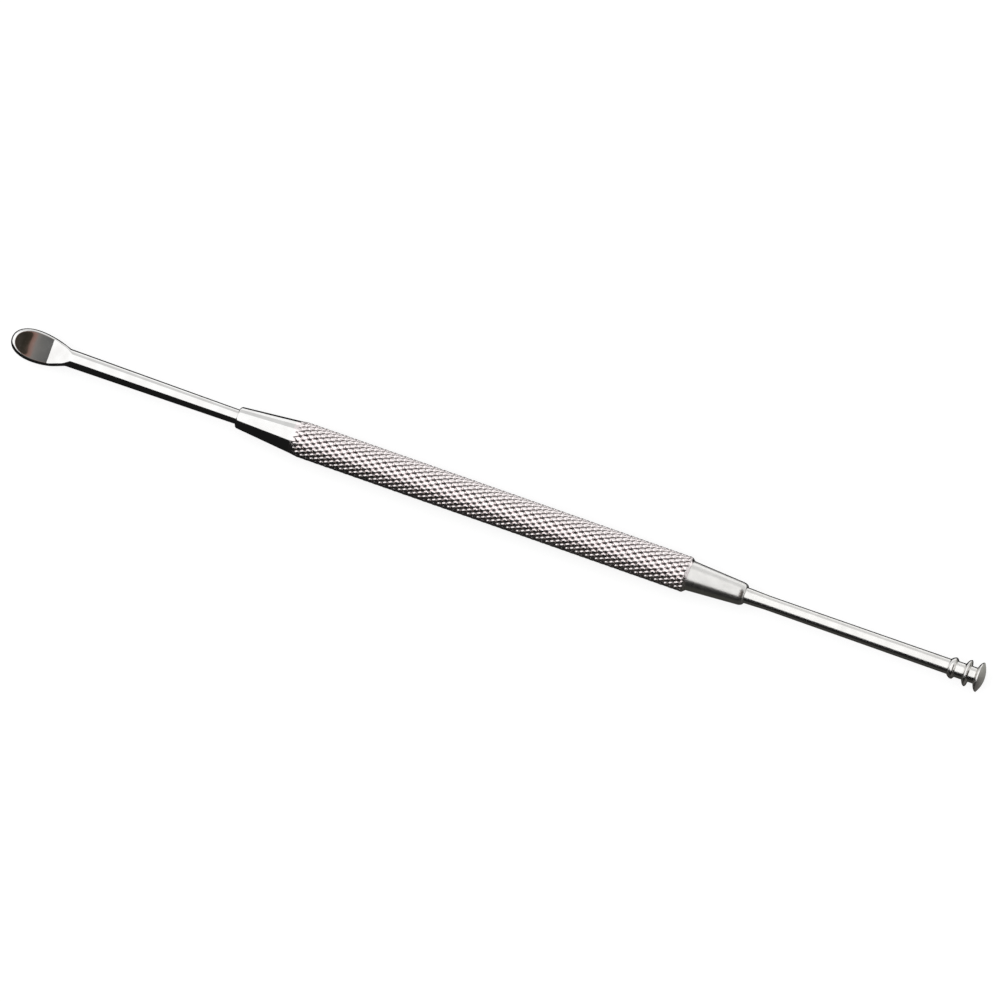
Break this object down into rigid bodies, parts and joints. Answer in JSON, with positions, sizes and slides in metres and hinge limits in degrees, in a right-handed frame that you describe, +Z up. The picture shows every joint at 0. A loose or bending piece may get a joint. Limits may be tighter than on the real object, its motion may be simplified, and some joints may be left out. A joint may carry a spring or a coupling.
{
  "type": "ear pick",
  "caption": "Double-ended steel ear pick: a diamond-knurled handle with coned ends, a small polished scoop on one slim shank and a ringed, domed head on the other.",
  "frame": {"origin": "on the table under the middle of the length, with the tool lying on its knurl", "axes": "+X along the tool from the scoop to the ringed head, +Y to the scoop's left side, +Z up, the way the scoop opens"},
  "size_m": [0.12, 0.0042, 0.0042],
  "materials": {
    "handle_steel": "bright knurl and a polished cone",
    "scoop_steel": "mirror polished",
    "ring_steel": "satin, as turned"
  },
  "bodies": {
    "root": {"knurled_handle": "handle_steel", "scoop_tip": "scoop_steel", "ring_tip": "ring_steel"}
  },
  "joints": []
}
